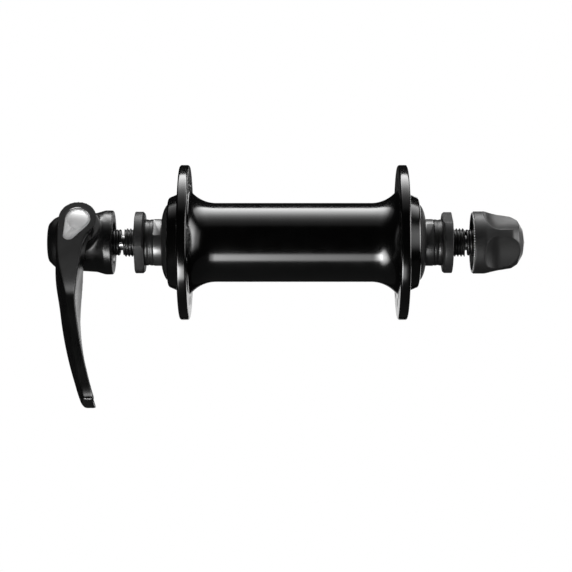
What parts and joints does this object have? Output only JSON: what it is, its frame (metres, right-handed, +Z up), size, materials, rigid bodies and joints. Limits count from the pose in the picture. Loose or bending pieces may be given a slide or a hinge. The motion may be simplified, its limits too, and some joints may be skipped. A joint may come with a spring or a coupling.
{
  "type": "bicycle front hub",
  "caption": "Black cup-and-cone front hub with high spoke flanges and a quick release skewer: cam lever at one end, finger nut at the other.",
  "frame": {"origin": "on the axle's line, midway between the outer faces of the two locknuts", "axes": "+Y along the axle towards the quick release lever, +Z up, +X forward on the bicycle"},
  "size_m": [0.0611, 0.151, 0.0746],
  "materials": {
    "blackened_steel": "black oxide steel, turned and milled",
    "seal_rubber": "black rubber",
    "black_anodised_shell": "black anodised aluminium, satin gloss",
    "bearing_steel": "ground and polished bearing steel",
    "black_cap": "pressed steel, black",
    "retainer_steel": "stamped steel",
    "spring_steel": "drawn spring wire",
    "black_head": "black anodised, satin",
    "washer_plastic": "moulded nylon",
    "black_lever": "forged, black satin",
    "bright_cam": "nickel plated and polished",
    "rod_steel": "drawn steel rod",
    "nut_grey": "dark grey, matt",
    "nut_steel": "bright serrated steel"
  },
  "bodies": {
    "axle_group": {"axle": "blackened_steel", "left_cone": "blackened_steel", "left_cone_seal": "seal_rubber", "left_spacer": "blackened_steel", "left_locknut": "blackened_steel", "right_cone": "blackened_steel", "right_cone_seal": "seal_rubber", "right_spacer": "blackened_steel", "right_locknut": "blackened_steel"},
    "hub_shell": {"hub_shell": "black_anodised_shell", "left_bearing_cup": "bearing_steel", "left_dust_cap": "black_cap", "right_bearing_cup": "bearing_steel", "right_dust_cap": "black_cap"},
    "left_balls": {"left_bearing_balls": "bearing_steel", "left_ball_retainer": "retainer_steel"},
    "right_balls": {"right_bearing_balls": "bearing_steel", "right_ball_retainer": "retainer_steel"},
    "skewer_carrier": {"left_spring": "spring_steel"},
    "skewer_head": {"lever_housing": "black_head", "lever_washer": "washer_plastic"},
    "lever": {"lever": "black_lever", "cam_shaft": "bright_cam", "cam_clip": "spring_steel"},
    "skewer_rod": {"skewer_rod": "rod_steel"},
    "nut_carrier": {"right_spring": "spring_steel"},
    "nut": {"nut_cap": "nut_grey", "nut_insert": "nut_steel"}
  },
  "joints": [
    {"name": "shell_spin", "type": "hinge", "parent": "axle_group", "child": "hub_shell", "pos_m": [0, 0, 0], "axis": [0, 1, 0], "continuous": true},
    {"name": "left_balls_roll", "type": "hinge", "parent": "axle_group", "child": "left_balls", "pos_m": [0, 0, 0], "axis": [0, 1, 0], "continuous": true},
    {"name": "right_balls_roll", "type": "hinge", "parent": "axle_group", "child": "right_balls", "pos_m": [0, 0, 0], "axis": [0, 1, 0], "continuous": true},
    {"name": "skewer_slide", "type": "slide", "parent": "axle_group", "child": "skewer_carrier", "axis": [0, 1, 0], "range_m": [-0.0015, 0.0015], "stiffness_N_per_m": 1500, "deforming": ["left_spring", "right_spring"]},
    {"name": "skewer_turn", "type": "hinge", "parent": "skewer_carrier", "child": "skewer_head", "pos_m": [0, 0, 0], "axis": [0, 1, 0], "continuous": true},
    {"name": "lever_swing", "type": "hinge", "parent": "skewer_head", "child": "lever", "pos_m": [0, 0.067, 0], "axis": [0.866, 0, -0.5], "range_deg": [0, 180]},
    {"name": "rod_draw", "type": "slide", "parent": "skewer_head", "child": "skewer_rod", "axis": [0, 1, 0], "range_m": [-0.002, 0]},
    {"name": "nut_travel", "type": "slide", "parent": "skewer_rod", "child": "nut_carrier", "axis": [0, 1, 0], "range_m": [-0.0024, 0.0024], "deforming": ["right_spring"]},
    {"name": "nut_turn", "type": "hinge", "parent": "nut_carrier", "child": "nut", "pos_m": [0, 0, 0], "axis": [0, 1, 0], "range_deg": [-1080, 1080]}
  ],
  "couplings": [
    {"joint": "left_balls_roll", "follows": "shell_spin", "ratio": 0.598},
    {"joint": "right_balls_roll", "follows": "shell_spin", "ratio": 0.598},
    {"joint": "lever_swing", "follows": "rod_draw", "rad_per_m": -1570.8},
    {"joint": "nut_turn", "follows": "nut_travel", "rad_per_m": 7854}
  ]
}
